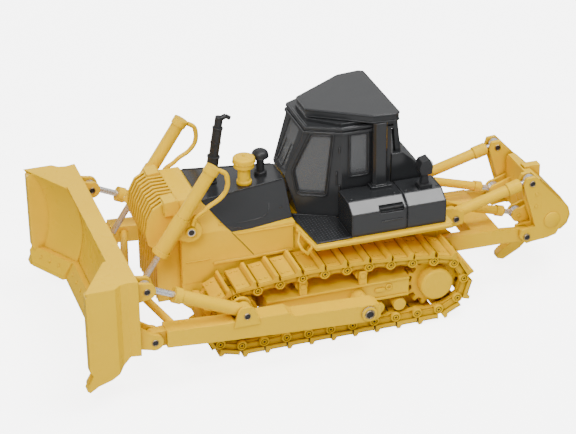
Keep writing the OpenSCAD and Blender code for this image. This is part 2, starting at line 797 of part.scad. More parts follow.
module ripper_beam() yellow() {
    difference() {
        union() {
            side_plate(beam_core, -9.6, 9.6);
            both_sides() {
                for (y = [10.8, 14.4]) {
                    side_plate(beam_side, y, y + 1.2);
                }
                side_plate(beam_fill, 9, 15);
                pin_y(ripper_tilt_eye, 0.8, 10.8, 15.6);
                for (y = [6.6, 9.7]) {
                    pin_y(ripper_lift_eye, 2.2, y, y + 0.9);
                    side_plate([[-63.2, 19.9], [-69, 18.5], [-69, 26.5], [-63.2, 24.3]], y, y + 0.9);
                }
                pin_y(ripper_lift_eye, 0.6, 6.6, 10.9);
            }
        }
        pin_y(frame_pin, 1 + clearance, -20, 20);
        side_plate([[-68.6, 10], [-68.6, 40], [-74.4, 40], [-74.4, 10]], -shank_thickness / 2 - 0.1,
            shank_thickness / 2 + 0.1);
    }
}

module ripper_shank() yellow() {
    side_plate([[-68.8, 33.6], [-74.2, 33.6], [-74.2, 13], [-72.5, 8.5], [-68.5, 4.6], [-63, 1.6], [-61, 2.2],
        [-60.9, 3.6], [-62.2, 5], [-66.5, 7.6], [-68.8, 11.5]], -shank_thickness / 2, shank_thickness / 2);
}

module ripper_tilt_pins() silver() {
    both_sides() pin_y(ripper_tilt_root, 0.9, 10.1, 16.8);
}

module ripper_tilt_barrels() yellow() {
    both_sides() barrel(ripper_tilt_root, ripper_tilt_eye, ripper_tilt_y, 21.3, ripper_radius,
        0.9 + clearance, 2.1, 1.7, 0.9 + clearance);
}

module ripper_tilt_rods() silver() {
    both_sides() piston(ripper_tilt_root, ripper_tilt_eye, ripper_tilt_y, 9, 0.9, 1.9, 1, 1.3);
}

module ripper_lift_barrels() yellow() {
    both_sides() barrel(ripper_lift_root, ripper_lift_eye, ripper_lift_y, 21.3, ripper_radius - 0.3,
        0.8 + clearance, 1.8, 1, 0.9 + clearance);
}

module ripper_lift_rods() silver() {
    both_sides() piston(ripper_lift_root, ripper_lift_eye, ripper_lift_y, 9, 0.8, 2, 0.9, 1.4);
}

chassis();
deck();
engine_cover();
radiator_guard();
hood();
cab();
cab_glass();
seat();
canopy();
roof_posts();
step_plates();
side_boxes();
rear_tank();
rear_lamps();
exhaust();
precleaner();
intake();
rear_bracket();
track_frame_left();
track_frame_right();
rollers_left();
rollers_right();
idler_left();
idler_right();
sprocket_left();
sprocket_right();
track_left();
track_right();
trunnion_screws();
push_frame();
blade();
tilt_barrels();
tilt_rods();
lift_pivots();
lift_barrels();
lift_rods();
ripper_frame();
ripper_pins();
ripper_beam();
ripper_shank();
ripper_tilt_pins();
ripper_tilt_barrels();
ripper_tilt_rods();
ripper_lift_barrels();
ripper_lift_rods();
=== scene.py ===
"""Looks of a die-cast bulldozer model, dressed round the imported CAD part.

The frame is the CAD's own: X forward, Y left, Z up. Tables and mesh helpers are in millimetres, and
piece() turns them into metres. Floor, lights and camera are in metres.
"""
import json
import math

import bmesh
import bpy
from mathutils import Matrix, Vector


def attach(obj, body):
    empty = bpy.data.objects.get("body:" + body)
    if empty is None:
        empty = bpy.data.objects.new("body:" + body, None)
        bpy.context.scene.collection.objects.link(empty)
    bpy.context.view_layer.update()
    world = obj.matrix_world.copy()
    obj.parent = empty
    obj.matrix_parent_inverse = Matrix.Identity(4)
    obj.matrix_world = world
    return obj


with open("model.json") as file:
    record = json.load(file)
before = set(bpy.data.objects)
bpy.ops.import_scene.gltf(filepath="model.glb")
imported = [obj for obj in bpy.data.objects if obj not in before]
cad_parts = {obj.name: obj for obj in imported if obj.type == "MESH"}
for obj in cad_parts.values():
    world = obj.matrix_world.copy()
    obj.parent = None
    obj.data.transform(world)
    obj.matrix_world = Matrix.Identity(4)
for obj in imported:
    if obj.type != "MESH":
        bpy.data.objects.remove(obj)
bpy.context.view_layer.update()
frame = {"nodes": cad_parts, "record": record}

MM = 0.001
SIDES = (1, -1)  # left and right, as the sign of y
UPRIGHT = Vector((0, 0, 1))

# Axes of the linkages as (x, z), the same as in the part's source
TRUNNION = (-4.4, 12.7)
BLADE_PIN = (60.6, 15.9)
TILT_ROOT = (33.1, 19.3)
TILT_EYE = (62.2, 32.7)
LIFT_EYE = (60.9, 22.4)
LIFT_PIVOT = (43.7, 38.8)
FRAME_PIN = (-63.9, 17.0)
RIPPER_TILT_ROOT = (-39.5, 28.1)
RIPPER_TILT_EYE = (-65.0, 35.2)
RIPPER_TILT_Y = 13.2

# Track path, the same as in the part's source
LINKS = 26
LINK_PHASE = 0.2
WHEEL_R = 8.5
WHEEL_Z = 12.15
SPROCKET_X = -30.0
IDLER_X = 33.6
CARRIERS = (-6.3, 12.5)
CARRIER_RISE = 10.9
TRACK_Y = 21.0


# Materials

NOISE_LOW, NOISE_HIGH = 0.3, 0.7  # the span in which nearly all of a noise lies
FINE_BUMP = 0.03  # depth of orange peel, tool marks and grain
BEVEL_SAMPLES = 4
FLAT_COSINE, EDGE_COSINE = 0.995, 0.8  # of the lean of a rounded normal, off and on an edge
# Samples and reach of the painted shade in hollows
HOLLOW_SAMPLES = 8
HOLLOW_DEPTH = 2.4
EDGE_WEAR_AND_HIGHLIGHT = (0.1, 0.75)  # least and most lightening along an edge, partly worn paint and partly painted highlight
METAL_ROUGHNESS = (0.22, 0.42)
PLASTIC_EDGE = 0.25
PLASTIC_CLOUDS = 0.07
WINDOW_SHADE, WINDOW_COLOUR = (0.1, 0.102, 0.105), (0.135, 0.138, 0.141)
WINDOW_ROUGHNESS = (0.1, 0.16)
WINDOW_ALPHA = 0.75
WINDOW_IOR = 1.49
LENS_ROUGHNESS = (0.08, 0.2)
LENS_COAT = 0.6


def node_material(name):
    """A new material with its node tree, shader and object coordinates."""
    material = bpy.data.materials.new(name)
    material.use_nodes = True
    tree = material.node_tree
    shader = tree.nodes["Principled BSDF"]
    coords = tree.nodes.new("ShaderNodeTexCoord")
    return material, tree, shader, coords.outputs["Object"]


def noise(tree, vector, scale, detail, stretch=None):
    """Noise over object space; scale is in features per metre."""
    if stretch:
        mapping = tree.nodes.new("ShaderNodeMapping")
        mapping.inputs["Scale"].default_value = stretch
        tree.links.new(vector, mapping.inputs["Vector"])
        vector = mapping.outputs["Vector"]
    texture = tree.nodes.new("ShaderNodeTexNoise")
    texture.inputs["Scale"].default_value = scale
    texture.inputs["Detail"].default_value = detail
    tree.links.new(vector, texture.inputs["Vector"])
    return texture.outputs["Fac"]


def ramp(tree, factor, low, high):
    """Colour that goes from low to high with a noise."""
    node = tree.nodes.new("ShaderNodeValToRGB")
    node.color_ramp.elements[0].position = NOISE_LOW
    node.color_ramp.elements[1].position = NOISE_HIGH
    node.color_ramp.elements[0].color = (*low, 1)
    node.color_ramp.elements[1].color = (*high, 1)
    tree.links.new(factor, node.inputs["Fac"])
    return node.outputs["Color"]


def map_range(tree, value, start, end, low=0.0, high=1.0):
    """The span of a value from start to end, taken to the span from low to high."""
    node = tree.nodes.new("ShaderNodeMapRange")
    node.inputs["From Min"].default_value = start
    node.inputs["From Max"].default_value = end
    node.inputs["To Min"].default_value = low
    node.inputs["To Max"].default_value = high
    tree.links.new(value, node.inputs["Value"])
    return node.outputs["Result"]


def spread(tree, factor, low, high):
    """A number that goes from low to high with a noise."""
    return map_range(tree, factor, NOISE_LOW, NOISE_HIGH, low, high)


def product(tree, first, second):
    """The product of two numbers."""
    node = tree.nodes.new("ShaderNodeMath")
    node.operation = "MULTIPLY"
    tree.links.new(first, node.inputs[0])
    tree.links.new(second, node.inputs[1])
    return node.outputs["Value"]


def blend_colour(tree, factor, first, second):
    """First colour where the factor is 0, second where it is 1."""
    node = tree.nodes.new("ShaderNodeMix")
    node.data_type = "RGBA"
    tree.links.new(factor, node.inputs["Factor"])
    tree.links.new(first, node.inputs["A"])
    node.inputs["B"].default_value = (*second, 1)
    return node.outputs["Result"]


def bump(tree, shader, height, strength, depth, normal=None):
    """Bump from a height noise, on top of a normal if one is given."""
    node = tree.nodes.new("ShaderNodeBump")
    node.inputs["Strength"].default_value = strength
    node.inputs["Distance"].default_value = depth * MM
    tree.links.new(height, node.inputs["Height"])
    if normal:
        tree.links.new(normal, node.inputs["Normal"])
    tree.links.new(node.outputs["Normal"], shader.inputs["Normal"])


def edge_rounding(tree, radius):
    """Rounded normal near sharp edges, and a mask that is 1 on those edges."""
    rounded = tree.nodes.new("ShaderNodeBevel")
    rounded.samples = BEVEL_SAMPLES
    rounded.inputs["Radius"].default_value = radius * MM
    geometry = tree.nodes.new("ShaderNodeNewGeometry")
    dot = tree.nodes.new("ShaderNodeVectorMath")
    dot.operation = "DOT_PRODUCT"
    tree.links.new(rounded.outputs["Normal"], dot.inputs[0])
    tree.links.new(geometry.outputs["Normal"], dot.inputs[1])
    mask = map_range(tree, dot.outputs["Value"], FLAT_COSINE, EDGE_COSINE)
    return rounded.outputs["Normal"], mask


def hollows(tree, clear, filled):
    """A mask from 0 to 1 as the open share of a point's surroundings goes from clear to filled, for
    painted shade in hollows.
    """
    node = tree.nodes.new("ShaderNodeAmbientOcclusion")
    node.samples = HOLLOW_SAMPLES
    node.inputs["Distance"].default_value = HOLLOW_DEPTH * MM
    return map_range(tree, node.outputs["AO"], clear, filled)


def enamel(name, colour, shade, edge, hollow_shade, roughness, gloss,
           edge_radius=0.35, peel=0.12, clouds=0.06, clear=0.8, filled=0.2):
    """Enamel sprayed on a casting.

    Its tone is cloudy between shade and colour and its roughness varies by clouds either way.
    In hollows the tone is darkened, a painted shade; on sharp edges it is lightened, partly worn
    paint and partly a painted highlight. It has a fine orange peel.
    """
    material, tree, shader, vector = node_material(name)
    tone = ramp(tree, noise(tree, vector, scale=70, detail=4), shade, colour)
    # Painted shade: the tone darkens in hollows
    tone = blend_colour(tree, hollows(tree, clear, filled), tone, hollow_shade)
    normal, mask = edge_rounding(tree, edge_radius)
    wear_and_highlight = spread(tree, noise(tree, vector, scale=400, detail=5), *EDGE_WEAR_AND_HIGHLIGHT)
    # Lighter on sharp edges: partly worn paint, partly a painted highlight
    tone = blend_colour(tree, product(tree, mask, wear_and_highlight), tone, edge)
    sheen = noise(tree, vector, scale=260, detail=4)
    rough = spread(tree, sheen, roughness - clouds, roughness + clouds)
    tree.links.new(tone, shader.inputs["Base Color"])
    tree.links.new(rough, shader.inputs["Roughness"])
    bump(tree, shader, noise(tree, vector, scale=1500, detail=3), peel, FINE_BUMP, normal)
    shader.inputs["Specular IOR Level"].default_value = gloss
    return material


def brushed_metal(name, colour, shade, metallic):
    """Turned zinc, steel or brass with fine rings of tool marks."""
    material, tree, shader, vector = node_material(name)
    marks = noise(tree, vector, scale=2600, detail=3, stretch=(1.0, 0.12, 1.0))
    tree.links.new(ramp(tree, marks, shade, colour), shader.inputs["Base Color"])
    tree.links.new(spread(tree, marks, *METAL_ROUGHNESS), shader.inputs["Roughness"])
    shader.inputs["Metallic"].default_value = metallic
    bump(tree, shader, marks, strength=0.15, depth=FINE_BUMP)
    return material


def moulded_plastic(name, colour, shade, roughness):
    """Matte moulded plastic with a fine grain."""
    material, tree, shader, vector = node_material(name)
    tone = ramp(tree, noise(tree, vector, scale=180, detail=4), shade, colour)
    sheen = noise(tree, vector, scale=500, detail=3)
    rough = spread(tree, sheen, roughness - PLASTIC_CLOUDS, roughness + PLASTIC_CLOUDS)
    grain = noise(tree, vector, scale=3200, detail=2)
    normal, _ = edge_rounding(tree, PLASTIC_EDGE)
    tree.links.new(tone, shader.inputs["Base Color"])
    tree.links.new(rough, shader.inputs["Roughness"])
    bump(tree, shader, grain, strength=0.2, depth=FINE_BUMP, normal=normal)
    return material


def window_plastic(name):
    """Clear grey moulded window with faint flow marks."""
    material, tree, shader, vector = node_material(name)
    flow = noise(tree, vector, scale=22, detail=2, stretch=(1.0, 1.0, 0.35))
    tree.links.new(ramp(tree, flow, WINDOW_SHADE, WINDOW_COLOUR), shader.inputs["Base Color"])
    tree.links.new(spread(tree, flow, *WINDOW_ROUGHNESS), shader.inputs["Roughness"])
    shader.inputs["Alpha"].default_value = WINDOW_ALPHA
    shader.inputs["IOR"].default_value = WINDOW_IOR
    bump(tree, shader, flow, strength=0.01, depth=0.01)
    return material


def lens(name, colour, shade):
    """Lamp lens with moulded ribs."""
    material, tree, shader, vector = node_material(name)
    ribs = noise(tree, vector, scale=1400, detail=1, stretch=(1.0, 1.0, 0.1))
    tree.links.new(ramp(tree, ribs, shade, colour), shader.inputs["Base Color"])
    tree.links.new(spread(tree, ribs, *LENS_ROUGHNESS), shader.inputs["Roughness"])
    shader.inputs["Coat Weight"].default_value = LENS_COAT
    bump(tree, shader, ribs, strength=0.4, depth=0.08)
    return material


# In the enamels below, the colour for hollows is a painted shade.
# In the enamels below, the edge colour is partly worn paint and partly a painted highlight.
YELLOW = enamel(
    "yellow_enamel",
    colour=(0.96, 0.59, 0.0),
    shade=(0.92, 0.555, 0.0),
    edge=(1.0, 0.67, 0.01),
    hollow_shade=(0.46, 0.21, 0.0),
    roughness=0.3,
    gloss=0.18,
    clear=0.85,
    filled=0.25,
)
TRACK = enamel(
    "track_yellow",
    colour=(0.88, 0.53, 0.0),
    shade=(0.76, 0.44, 0.0),
    edge=(0.97, 0.62, 0.01),
    hollow_shade=(0.26, 0.11, 0.0),
    roughness=0.42,
    gloss=0.13,
    edge_radius=0.25,
    clear=0.87,
    filled=0.3,
)
CHARCOAL = enamel(
    "charcoal_enamel",
    colour=(0.023, 0.024, 0.0255),
    shade=(0.021, 0.022, 0.0235),
    edge=(0.075, 0.078, 0.082),
    hollow_shade=(0.012, 0.012, 0.013),
    roughness=0.24,
    gloss=0.5,
    edge_radius=0.4,
    peel=0.03,
    clouds=0.02,
)
BLACK = moulded_plastic(
    "black_plastic", colour=(0.02, 0.021, 0.023), shade=(0.012, 0.012, 0.013), roughness=0.5)
GREY = moulded_plastic(
    "grey_plastic", colour=(0.13, 0.13, 0.14), shade=(0.09, 0.09, 0.1), roughness=0.6)
METAL = brushed_metal(
    "bare_metal", colour=(0.8, 0.8, 0.8), shade=(0.66, 0.66, 0.66), metallic=0.8)
BRASS = brushed_metal(
    "rivet_brass", colour=(0.5, 0.4, 0.25), shade=(0.28, 0.22, 0.14), metallic=1.0)
GLASS = window_plastic("window_glass")
LENS = lens("lamp_lens", colour=(0.8, 0.82, 0.84), shade=(0.55, 0.57, 0.6))

SLOT_MATERIALS = {
    "yellow_enamel": YELLOW,
    "track_yellow": TRACK,
    "charcoal_enamel": CHARCOAL,
    "black_plastic": BLACK,
    "bare_metal": METAL,
    "grey_plastic": GREY,
    "window_glass": GLASS,
}
for part in frame["record"]["subparts"]:
    slots = frame["nodes"][part["node"]].data.materials
    slots.clear()
    slots.append(SLOT_MATERIALS[part["material_slot"]])


# Mesh helpers

SHARP_ANGLE = math.radians(35)
CORNER_STEPS = 4
PATH_STEPS = 5
TIP_SHARE = 0.5  # how far a tube's rounded end stands out, as a share of its radius


def piece(name, mesh, material, body):
    """Turns a bmesh in millimetres into an object that rides on a body."""
    bmesh.ops.recalc_face_normals(mesh, faces=mesh.faces)
    bmesh.ops.scale(mesh, vec=Vector((MM, MM, MM)), verts=mesh.verts)
    data = bpy.data.meshes.new(name)
    mesh.to_mesh(data)
    mesh.free()
    data.materials.append(material)
    obj = bpy.data.objects.new(name, data)
    bpy.context.scene.collection.objects.link(obj)
    data.shade_smooth()
    data.set_sharp_from_angle(angle=SHARP_ANGLE)
    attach(obj, body)


def circle(count):
    """Angles of a number of points spaced evenly round a circle."""
    return [2 * math.pi * k / count for k in range(count)]


def revolve(mesh, at, axis, profile, segments=20):
    """Adds a turned shape: profile is (radius, height) along the axis from the point at."""
    turn = UPRIGHT.rotation_difference(Vector(axis)).to_matrix().to_4x4()
    place = Matrix.Translation(Vector(at)) @ turn
    rings = []
    for radius, height in profile:
        angles = circle(segments) if radius else [0.0]
        rings.append([
            mesh.verts.new(place @ Vector((radius * math.cos(a), radius * math.sin(a), height)))
            for a in angles
        ])
    for lower, upper in zip(rings, rings[1:]):
        for k in range(segments):
            n = (k + 1) % segments
            corners = [lower[k % len(lower)], lower[n % len(lower)],
                       upper[n % len(upper)], upper[k % len(upper)]]
            corners = list(dict.fromkeys(corners))
            if len(corners) > 2:
                mesh.faces.new(corners)


def revolve_pair(mesh, axis, depth, profile, segments=20):
    """Adds a turned shape on the left and right faces that stand at a depth, on an axis (x, z)."""
    for side in SIDES:
        revolve(mesh, (axis[0], side * depth, axis[1]), (0, side, 0), profile, segments)


def slab(mesh, low, high, chamfer=0.12, place=None):
    """Adds a block with rounded edges between two corners, moved by a matrix if one is given."""
    verts = bmesh.ops.create_cube(mesh, size=1.0)["verts"]
    for vert in verts:
        vert.co = Vector([low[k] if vert.co[k] < 0 else high[k] for k in range(3)])
        if place:
            vert.co = place @ vert.co
    edges = list({edge for vert in verts for edge in vert.link_edges})
    bmesh.ops.bevel(
        mesh, geom=edges, offset=chamfer, segments=2, profile=0.5, affect="EDGES")


def slab_pair(mesh, x, y, z, chamfer=0.12):
    """Adds a block with spans x, y and z on the left, and its copy on the right."""
    for side in SIDES:
        near, far = sorted(side * depth for depth in y)
        slab(mesh, (x[0], near, z[0]), (x[1], far, z[1]), chamfer)


def tube(mesh, points, radius, segments=8, closed=False):
    """Adds a round bar along a path, with rounded ends unless it is closed."""
    points = [Vector(p) for p in points]
    count = len(points)
    rings = []
    side = None
    for i, point in enumerate(points):
        before = points[i - 1] if closed or i else point
        after = points[(i + 1) % count] if closed or i < count - 1 else point
        ahead = (after - before).normalized()
        if side is None:
            side = ahead.orthogonal()
        side = (side - ahead * side.dot(ahead)).normalized()
        other = ahead.cross(side)
        rings.append([
            mesh.verts.new(point + radius * (side * math.cos(a) + other * math.sin(a)))
            for a in circle(segments)
        ])
    pairs = list(zip(rings, rings[1:]))
    if closed:
        pairs.append((rings[-1], rings[0]))
    for first, second in pairs:
        for k in range(segments):
            n = (k + 1) % segments
            mesh.faces.new((first[k], first[n], second[n], second[k]))
    if closed:
        return
    for ring, out in ((rings[0], points[0] - points[1]), (rings[-1], points[-1] - points[-2])):
        centre = sum((vert.co for vert in ring), Vector()) / segments
        tip = mesh.verts.new(centre + out.normalized() * TIP_SHARE * radius)
        for k in range(segments):
            mesh.faces.new((ring[k], ring[(k + 1) % segments], tip))


def tube_pair(mesh, points, radius, segments=8, closed=False):
    """Adds a round bar along a path on the left, and its copy on the right."""
    for side in SIDES:
        tube(mesh, [(p[0], side * p[1], p[2]) for p in points], radius, segments, closed)


def rounded_outline(corners, radius):
    """Closed 2-D outline with each corner replaced by a curve that starts a radius before it."""
    out = []
    corners = [Vector(c) for c in corners]
    for i, corner in enumerate(corners):
        start = corner + (corners[i - 1] - corner).normalized() * radius
        end = corner + (corners[(i + 1) % len(corners)] - corner).normalized() * radius
        for k in range(CORNER_STEPS + 1):
            t = k / CORNER_STEPS
            out.append((1 - t) ** 2 * start + 2 * t * (1 - t) * corner + t * t * end)
    return out


def smooth_path(points):
    """Smooth curve through the points, a few steps from each to the next."""
    points = [Vector(p) for p in points]
    ends = [2 * points[0] - points[1]] + points + [2 * points[-1] - points[-2]]
    out = []
    for a, b, c, d in zip(ends, ends[1:], ends[2:], ends[3:]):
        for k in range(PATH_STEPS):
            t = k / PATH_STEPS
            out.append(0.5 * (2 * b + (c - a) * t + (2 * a - 5 * b + 4 * c - d) * t * t
                              + (3 * b - a - 3 * c + d) * t ** 3))
    return out + [points[-1]]


# Rivets, washers and pin bores of the linkages; the dark in each bore is a black disc of painted
# shade

# Depths from the middle plane of the faces that rivets sit on: the outer face, then the inner one
TILT_EAR = (35.1, 29.9)
BLADE_EAR = (35.6, 29.4)
LIFT_EAR = (18.9, 14.5)
ARM_CLEVIS = (35.8, 29.2)
RIPPER_EAR = (15.6, 10.8)
RIPPER_FRAME_EAR = (16.0,)
REAR_BRACKET = (16.8,)
TRUNNION_HEAD = (36.3,)
LIFT_PIVOT_HOLE_Y = 16.7
TRUNNION_WASHER_Y = 36.25
LIFT_WASHER_Y = 16.68

RIVET_SINK = 0.1
RIVET_BORE = 0.72  # share of the rivet's radius
# Black disc in each lift pivot's hole, painted shade
LIFT_PIVOT_HOLE_SHADE = [(0, 0), (0.9, 0), (0.9, 0.13), (0.5, 0.15), (0, 0.15)]
TRUNNION_WASHER = [
    (1.5, 0), (2.36, 0), (2.36, 0.1), (2.2, 0.22), (1.62, 0.22), (1.5, 0.1), (1.5, 0)]
LIFT_WASHER = [
    (1.05, 0), (1.62, 0), (1.62, 0.06), (1.5, 0.14), (1.15, 0.14), (1.05, 0.06), (1.05, 0)]


def hollow_rivets(name, body, places, radius=1.05, proud=0.25):
    """Rolled rivet ends on the left and the right, each with a black disc in its bore for painted
    shade.

    A place is a pin's axis (x, z) and the depths of the faces on it, outer face first.
    """
    rims = bmesh.new()
    hole_shades = bmesh.new()
    bore = RIVET_BORE * radius
    rim_profile = [
        (radius, -RIVET_SINK), (radius, 0.6 * proud), (0.92 * radius, proud), (0.8 * radius, proud),
        (bore, 0.5 * proud), (bore, -RIVET_SINK), (radius, -RIVET_SINK),
    ]
    # Black disc in the bore: painted shade
    hole_shade_profile = [
        (0, -RIVET_SINK), (1.03 * bore, -RIVET_SINK), (1.03 * bore, 0.02), (0.5 * bore, 0.05),
        (0, 0.05),
    ]
    for (x, z), faces in places:
        for depth, way in zip(faces, (1, -1)):
            for side in SIDES:
                at = (x, side * depth, z)
                axis = (0, side * way, 0)
                revolve(rims, at, axis, rim_profile)
                revolve(hole_shades, at, axis, hole_shade_profile)
    piece(name, rims, BRASS, body)
    piece(name + "_hole_shades", hole_shades, BLACK, body)


hollow_rivets("blade_rivets", "blade", [
    (TILT_EYE, TILT_EAR), (BLADE_PIN, BLADE_EAR), (LIFT_EYE, LIFT_EAR)])
hollow_rivets("arm_rivets", "push_frame", [(TILT_ROOT, ARM_CLEVIS)])
hollow_rivets("ripper_beam_rivets", "ripper_beam", [(RIPPER_TILT_EYE, RIPPER_EAR)])
hollow_rivets("ripper_frame_rivets", "ripper_frame", [(FRAME_PIN, RIPPER_FRAME_EAR)])
hollow_rivets("rear_bracket_rivets", "tractor", [(RIPPER_TILT_ROOT, REAR_BRACKET)])

# A black disc on each lift pivot: painted shade in its hole
pivot_hole_shades = bmesh.new()
revolve_pair(pivot_hole_shades, LIFT_PIVOT, LIFT_PIVOT_HOLE_Y, LIFT_PIVOT_HOLE_SHADE)
piece("lift_pivot_hole_shades", pivot_hole_shades, BLACK, "tractor")

hollow_rivets("trunnion_rims", "tractor", [(TRUNNION, TRUNNION_HEAD)], radius=1.45, proud=0.35)

washers = bmesh.new()
revolve_pair(washers, TRUNNION, TRUNNION_WASHER_Y, TRUNNION_WASHER, segments=36)
revolve_pair(washers, LIFT_PIVOT, LIFT_WASHER_Y, LIFT_WASHER, segments=32)
piece("pivot_washers", washers, YELLOW, "tractor")


# Hose loops on the lift cylinders, smooth over the part's own

HOSE_Y = 16.3
HOSE_RADIUS = 0.69
HOSE_ROUTE = [  # (x, z)
    (34.8, 57.4), (32.8, 55.9), (32.3, 53), (32.9, 50.4), (34.9, 48.1), (37.9, 46.4), (39.8, 44.9),
    (42.3, 43.4), (43.2, 41)]

hoses = bmesh.new()
tube_pair(hoses, smooth_path([(x, HOSE_Y, z) for x, z in HOSE_ROUTE]), HOSE_RADIUS, segments=12)
piece("lift_hoses", hoses, YELLOW, "lift_barrels")


# Track pads, bolts, link plates and pin ends

PLATE_TOP = 2.4  # height of a shoe's plate above the pins
PAD_RISE = 0.3
PAD_SINK = 0.3
PAD_START, PAD_GAP = 2.15, 0.45  # from one pin, and to the next
PAD_HALF = 5.9
PAD_CHAMFER = 0.28
BOLT_SHARES = (0.52, 0.76)  # along a shoe
BOLTS_ACROSS = (-3.9, 3.9)
SHOE_BOLT = [(0.5, -0.05), (0.46, 0.16), (0.3, 0.24), (0, 0.26)]
LINK_FACE = 4.7  # depth of the chain's outer face from the track's middle
LINK_PLATE_Y = (-0.05, 0.55)
LINK_PLATE_Z = (-0.3, 1.3)
LINK_PLATE_GAP = 0.9
LINK_PLATE_CHAMFER = 0.16
PIN_END = [
    (1.62, -0.05), (1.62, 0.85), (1.45, 1.1), (1.05, 1.1), (0.95, 0.95), (0.95, 0.6), (0.8, 0.6),
    (0.76, 1.0), (0.6, 1.08), (0.42, 1.08), (0.36, 0.9), (0.36, 0.5), (0, 0.5)]
# Black disc in each pin end's bore, painted shade
PIN_HOLE_SHADE = [(0, 0.55), (0.4, 0.55), (0.4, 0.65), (0.2, 0.68), (0, 0.68)]


def track_path():
    """Pin positions (x, z) round the wheels, worked out as in the part's source."""
    sprocket = Vector((SPROCKET_X, WHEEL_Z))
    idler = Vector((IDLER_X, WHEEL_Z))
    rear = Vector((CARRIERS[0], WHEEL_Z + CARRIER_RISE))
    front = Vector((CARRIERS[1], WHEEL_Z + CARRIER_RISE))

    def bearing(p, q):
        return math.atan2(q.y - p.y, q.x - p.x)

    def polar(centre, angle):
        return centre + WHEEL_R * Vector((math.cos(angle), math.sin(angle)))

    def straight(start, end):
        return (end - start).length, lambda s: start + (end - start).normalized() * s

    leave = bearing(sprocket, rear) + math.acos(WHEEL_R / (rear - sprocket).length)
    meet = bearing(idler, front) - math.acos(WHEEL_R / (front - idler).length)
    under = 1.5 * math.pi
    stretches = [
        (IDLER_X - SPROCKET_X, lambda s: Vector((IDLER_X - s, WHEEL_Z - WHEEL_R))),
        (WHEEL_R * (under - leave), lambda s: polar(sprocket, under - s / WHEEL_R)),
        straight(polar(sprocket, leave), rear),
        straight(rear, front),
        straight(front, polar(idler, meet)),
        (WHEEL_R * (meet + 0.5 * math.pi), lambda s: polar(idler, meet - s / WHEEL_R)),
    ]
    total = sum(length for length, _ in stretches)

    def point(s):
        for length, where in stretches[:-1]:
            if s < length:
                return where(s)
            s -= length
        return stretches[-1][1](s)

    return [point((i + LINK_PHASE) * total / LINKS) for i in range(LINKS)]


PINS = track_path()


def track_details(side, name):
    """A pad and four bolts on each shoe, a link plate and a hollow pin end outside each joint.

    The black disc in each pin end's bore is painted shade.
    """
    pads = bmesh.new()
    bolts = bmesh.new()
    ends = bmesh.new()
    hole_shades = bmesh.new()
    face = side * (TRACK_Y + LINK_FACE)
    near, far = sorted(side * depth for depth in LINK_PLATE_Y)
    for i, start in enumerate(PINS):
        chord = PINS[(i + 1) % LINKS] - start
        ahead = chord.normalized()
        up = Vector((-ahead.y, ahead.x))
        for share in BOLT_SHARES:
            spot = start + chord * share + up * (PLATE_TOP + PAD_RISE)
            for across in BOLTS_ACROSS:
                at = (spot.x, side * (TRACK_Y + across), spot.y)
                revolve(bolts, at, (up.x, 0, up.y), SHOE_BOLT, segments=8)
        turn = Matrix(((ahead.x, 0, up.x), (0, 1, 0), (ahead.y, 0, up.y))).to_4x4()
        shoe = Matrix.Translation(Vector((start.x, side * TRACK_Y, start.y))) @ turn
        slab(pads, (PAD_START, -PAD_HALF, PLATE_TOP - PAD_SINK),
             (chord.length - PAD_GAP, PAD_HALF, PLATE_TOP + PAD_RISE), PAD_CHAMFER, shoe)
        joint = (start.x, face, start.y)
        revolve(ends, joint, (0, side, 0), PIN_END)
        revolve(hole_shades, joint, (0, side, 0), PIN_HOLE_SHADE, segments=10)
        link = Matrix.Translation(Vector(joint)) @ turn
        slab(ends, (LINK_PLATE_GAP, near, LINK_PLATE_Z[0]),
             (chord.length - LINK_PLATE_GAP, far, LINK_PLATE_Z[1]), LINK_PLATE_CHAMFER, link)
    piece("track_pads_" + name, pads, TRACK, "tractor")
    piece("track_bolts_" + name, bolts, TRACK, "tractor")
    piece("track_pins_" + name, ends, TRACK, "tractor")
    piece("track_pin_hole_shades_" + name, hole_shades, BLACK, "tractor")


track_details(1, "left")
track_details(-1, "right")


# Hood, engine sides, stacks and lamps

HOOD_TOP = 45.4
CREASE_FRONT = Vector((39.0, 10.5, HOOD_TOP))
CREASE_REAR = Vector((11.0, 5.0, HOOD_TOP))
HOOD_FOOT = Vector((25.0, 13.5, 35.0))
FACET = (CREASE_FRONT - CREASE_REAR).cross(HOOD_FOOT - CREASE_REAR)
HOOD_CREASE_X = (38.6, 29, 20, 12.4)
HOOD_PANEL = ((29.0, 37.4), (26.2, 37.1), (20.5, 37.0), (18.4, 38.0), (17.6, 40.2))  # (x, z)
HOOD_LATCHES = ((29.4, 36.4), (28.2, 36.1), (14.2, 38.4))  # (x, z)
HOOD_LATCH_HALF = Vector((0.5, 0.25, 0.18))
HOOD_TRIM_LIFT = 0.02

# Raised bars on the engine sides, as spans of x, y and z
SIDE_BARS = (
    ((11.3, 29.4), (13.35, 13.72), (33.7, 34.3)),
    ((37.2, 44.8), (13.35, 13.72), (27.0, 27.5)),
    ((33.2, 34.4), (12.75, 13.2), (37.7, 38.3)),
)
SIDE_SEAMS = (
    ((30.6, 13.5, 34.8), (27.2, 13.52, 30.5), (24.0, 13.5, 26.2)),
    ((11.4, 13.5, 33.2), (11.4, 13.52, 30), (11.4, 13.5, 26.2)),
)

